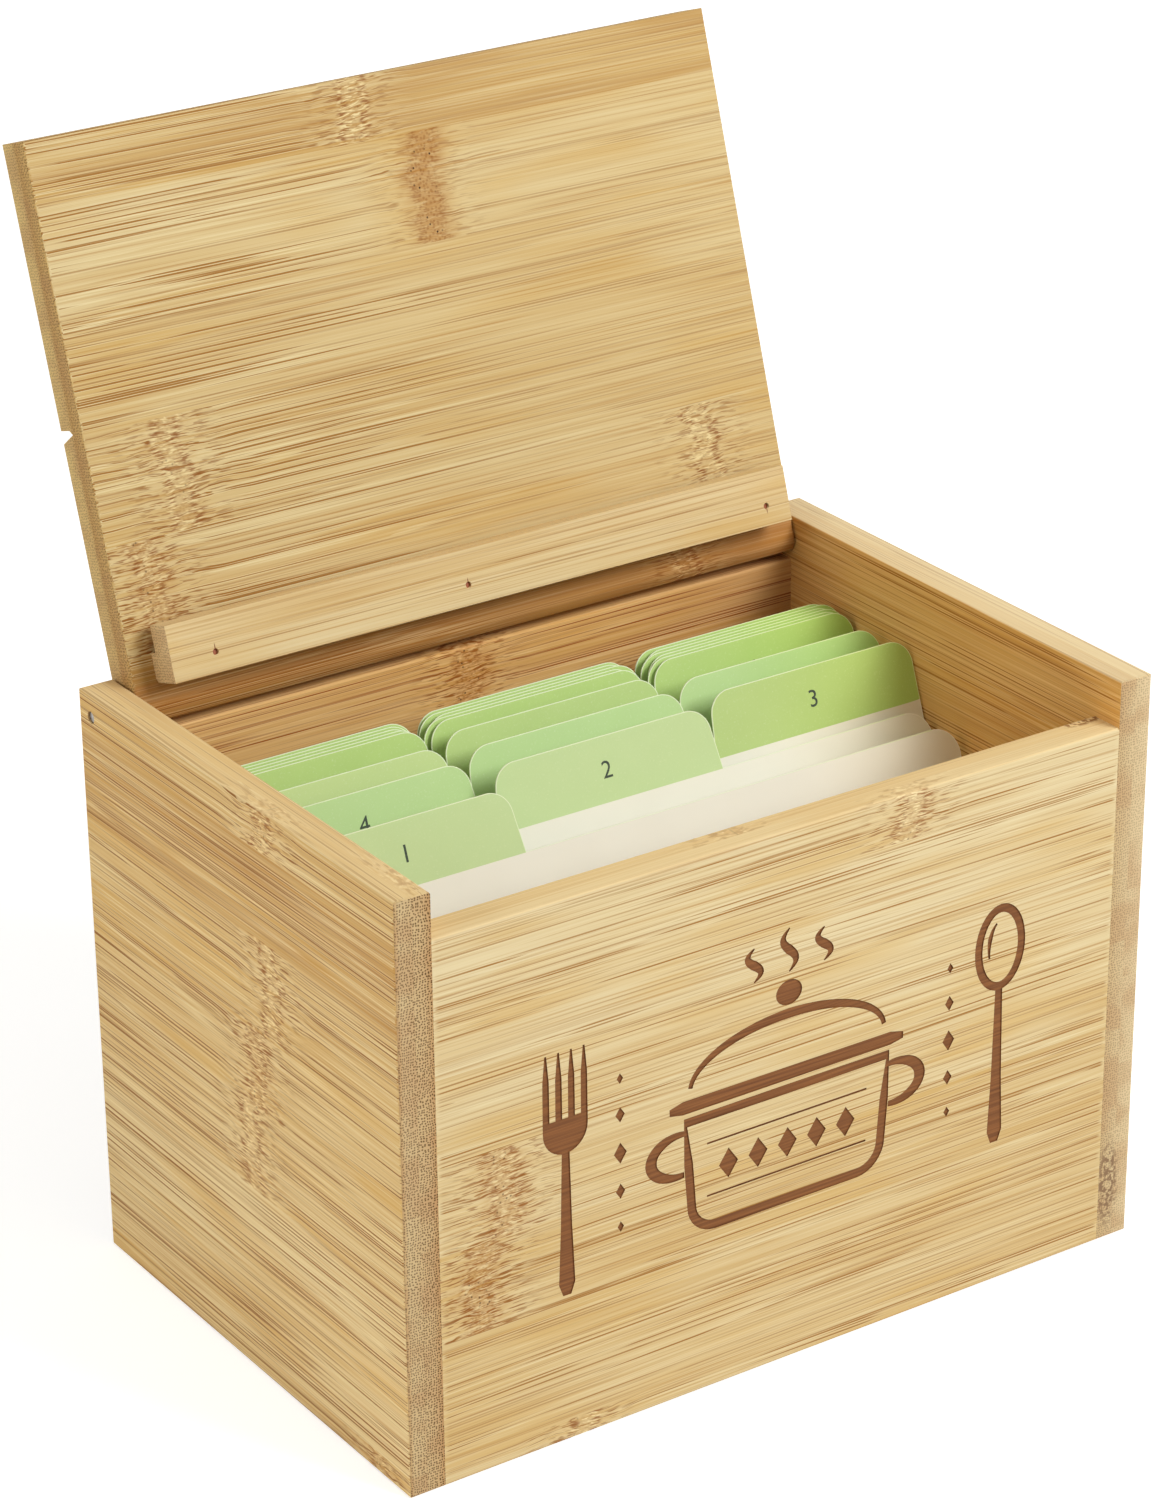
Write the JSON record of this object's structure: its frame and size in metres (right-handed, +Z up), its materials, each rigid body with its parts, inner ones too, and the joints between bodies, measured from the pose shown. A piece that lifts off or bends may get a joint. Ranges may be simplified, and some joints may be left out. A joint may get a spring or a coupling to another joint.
{
  "type": "recipe card box",
  "caption": "Bamboo box for index cards: butt-jointed panels, a lid hinged on hidden pins with a groove to stand a card in, and tabbed paper dividers leaning back inside.",
  "frame": {"origin": "middle of the box's underside, on the surface it stands on", "axes": "+X to the right seen from the front, +Y to the back, +Z up"},
  "size_m": [0.17, 0.145, 0.2213],
  "materials": {
    "bamboo_side": "satin, lightly lacquered bamboo",
    "bamboo_front": "satin, lightly lacquered bamboo",
    "bamboo_lid": "satin, lightly lacquered bamboo",
    "bamboo_batten": "satin, lightly lacquered bamboo",
    "steel": "dull cut wire",
    "paper_yellow_green": "matt card with a printed tab",
    "paper_mint": "matt card with a printed tab",
    "paper_lime": "matt card with a printed tab",
    "paper_green": "matt card with a printed tab"
  },
  "bodies": {
    "box": {"left_side_panel": "bamboo_side", "right_side_panel": "bamboo_side", "front_panel": "bamboo_front", "rear_panel": "bamboo_front", "bottom_panel": "bamboo_front", "hinge_pin_left": "steel", "hinge_pin_right": "steel"},
    "lid": {"lid_panel": "bamboo_lid", "lid_batten": "bamboo_batten", "batten_brads": "steel"},
    "divider_01": {"divider_01": "paper_yellow_green"},
    "divider_02": {"divider_02": "paper_yellow_green"},
    "divider_03": {"divider_03": "paper_yellow_green"},
    "divider_04": {"divider_04": "paper_mint"},
    "divider_05": {"divider_05": "paper_mint"},
    "divider_06": {"divider_06": "paper_mint"},
    "divider_07": {"divider_07": "paper_lime"},
    "divider_08": {"divider_08": "paper_lime"},
    "divider_09": {"divider_09": "paper_lime"},
    "divider_10": {"divider_10": "paper_green"},
    "divider_11": {"divider_11": "paper_green"},
    "divider_12": {"divider_12": "paper_green"},
    "divider_13": {"divider_13": "paper_green"},
    "divider_14": {"divider_14": "paper_green"},
    "divider_15": {"divider_15": "paper_green"},
    "divider_16": {"divider_16": "paper_green"},
    "divider_17": {"divider_17": "paper_green"},
    "divider_18": {"divider_18": "paper_green"},
    "divider_19": {"divider_19": "paper_green"},
    "divider_20": {"divider_20": "paper_green"},
    "divider_21": {"divider_21": "paper_green"},
    "divider_22": {"divider_22": "paper_green"},
    "divider_23": {"divider_23": "paper_green"},
    "divider_24": {"divider_24": "paper_green"}
  },
  "joints": [
    {"name": "lid_hinge", "type": "hinge", "parent": "box", "child": "lid", "pos_m": [0, 0.0516, 0.1174], "axis": [-1, 0, 0], "range_deg": [-107.8, 0]},
    {"name": "lift_01", "type": "slide", "parent": "box", "child": "divider_01", "axis": [0, 0.3502, 0.9367], "range_m": [0, 0.127]},
    {"name": "lift_02", "type": "slide", "parent": "box", "child": "divider_02", "axis": [0, 0.3502, 0.9367], "range_m": [0, 0.127]},
    {"name": "lift_03", "type": "slide", "parent": "box", "child": "divider_03", "axis": [0, 0.3502, 0.9367], "range_m": [0, 0.127]},
    {"name": "lift_04", "type": "slide", "parent": "box", "child": "divider_04", "axis": [0, 0.3502, 0.9367], "range_m": [0, 0.127]},
    {"name": "lift_05", "type": "slide", "parent": "box", "child": "divider_05", "axis": [0, 0.3502, 0.9367], "range_m": [0, 0.127]},
    {"name": "lift_06", "type": "slide", "parent": "box", "child": "divider_06", "axis": [0, 0.3502, 0.9367], "range_m": [0, 0.127]},
    {"name": "lift_07", "type": "slide", "parent": "box", "child": "divider_07", "axis": [0, 0.3502, 0.9367], "range_m": [0, 0.127]},
    {"name": "lift_08", "type": "slide", "parent": "box", "child": "divider_08", "axis": [0, 0.3502, 0.9367], "range_m": [0, 0.127]},
    {"name": "lift_09", "type": "slide", "parent": "box", "child": "divider_09", "axis": [0, 0.3502, 0.9367], "range_m": [0, 0.127]},
    {"name": "lift_10", "type": "slide", "parent": "box", "child": "divider_10", "axis": [0, 0.3502, 0.9367], "range_m": [0, 0.127]},
    {"name": "lift_11", "type": "slide", "parent": "box", "child": "divider_11", "axis": [0, 0.3502, 0.9367], "range_m": [0, 0.127]},
    {"name": "lift_12", "type": "slide", "parent": "box", "child": "divider_12", "axis": [0, 0.3502, 0.9367], "range_m": [0, 0.127]},
    {"name": "lift_13", "type": "slide", "parent": "box", "child": "divider_13", "axis": [0, 0.3502, 0.9367], "range_m": [0, 0.127]},
    {"name": "lift_14", "type": "slide", "parent": "box", "child": "divider_14", "axis": [0, 0.3502, 0.9367], "range_m": [0, 0.127]},
    {"name": "lift_15", "type": "slide", "parent": "box", "child": "divider_15", "axis": [0, 0.3502, 0.9367], "range_m": [0, 0.127]},
    {"name": "lift_16", "type": "slide", "parent": "box", "child": "divider_16", "axis": [0, 0.3502, 0.9367], "range_m": [0, 0.127]},
    {"name": "lift_17", "type": "slide", "parent": "box", "child": "divider_17", "axis": [0, 0.3502, 0.9367], "range_m": [0, 0.127]},
    {"name": "lift_18", "type": "slide", "parent": "box", "child": "divider_18", "axis": [0, 0.3502, 0.9367], "range_m": [0, 0.127]},
    {"name": "lift_19", "type": "slide", "parent": "box", "child": "divider_19", "axis": [0, 0.3502, 0.9367], "range_m": [0, 0.127]},
    {"name": "lift_20", "type": "slide", "parent": "box", "child": "divider_20", "axis": [0, 0.3502, 0.9367], "range_m": [0, 0.127]},
    {"name": "lift_21", "type": "slide", "parent": "box", "child": "divider_21", "axis": [0, 0.3502, 0.9367], "range_m": [0, 0.127]},
    {"name": "lift_22", "type": "slide", "parent": "box", "child": "divider_22", "axis": [0, 0.3502, 0.9367], "range_m": [0, 0.127]},
    {"name": "lift_23", "type": "slide", "parent": "box", "child": "divider_23", "axis": [0, 0.3502, 0.9367], "range_m": [0, 0.127]},
    {"name": "lift_24", "type": "slide", "parent": "box", "child": "divider_24", "axis": [0, 0.3502, 0.9367], "range_m": [0, 0.127]}
  ]
}
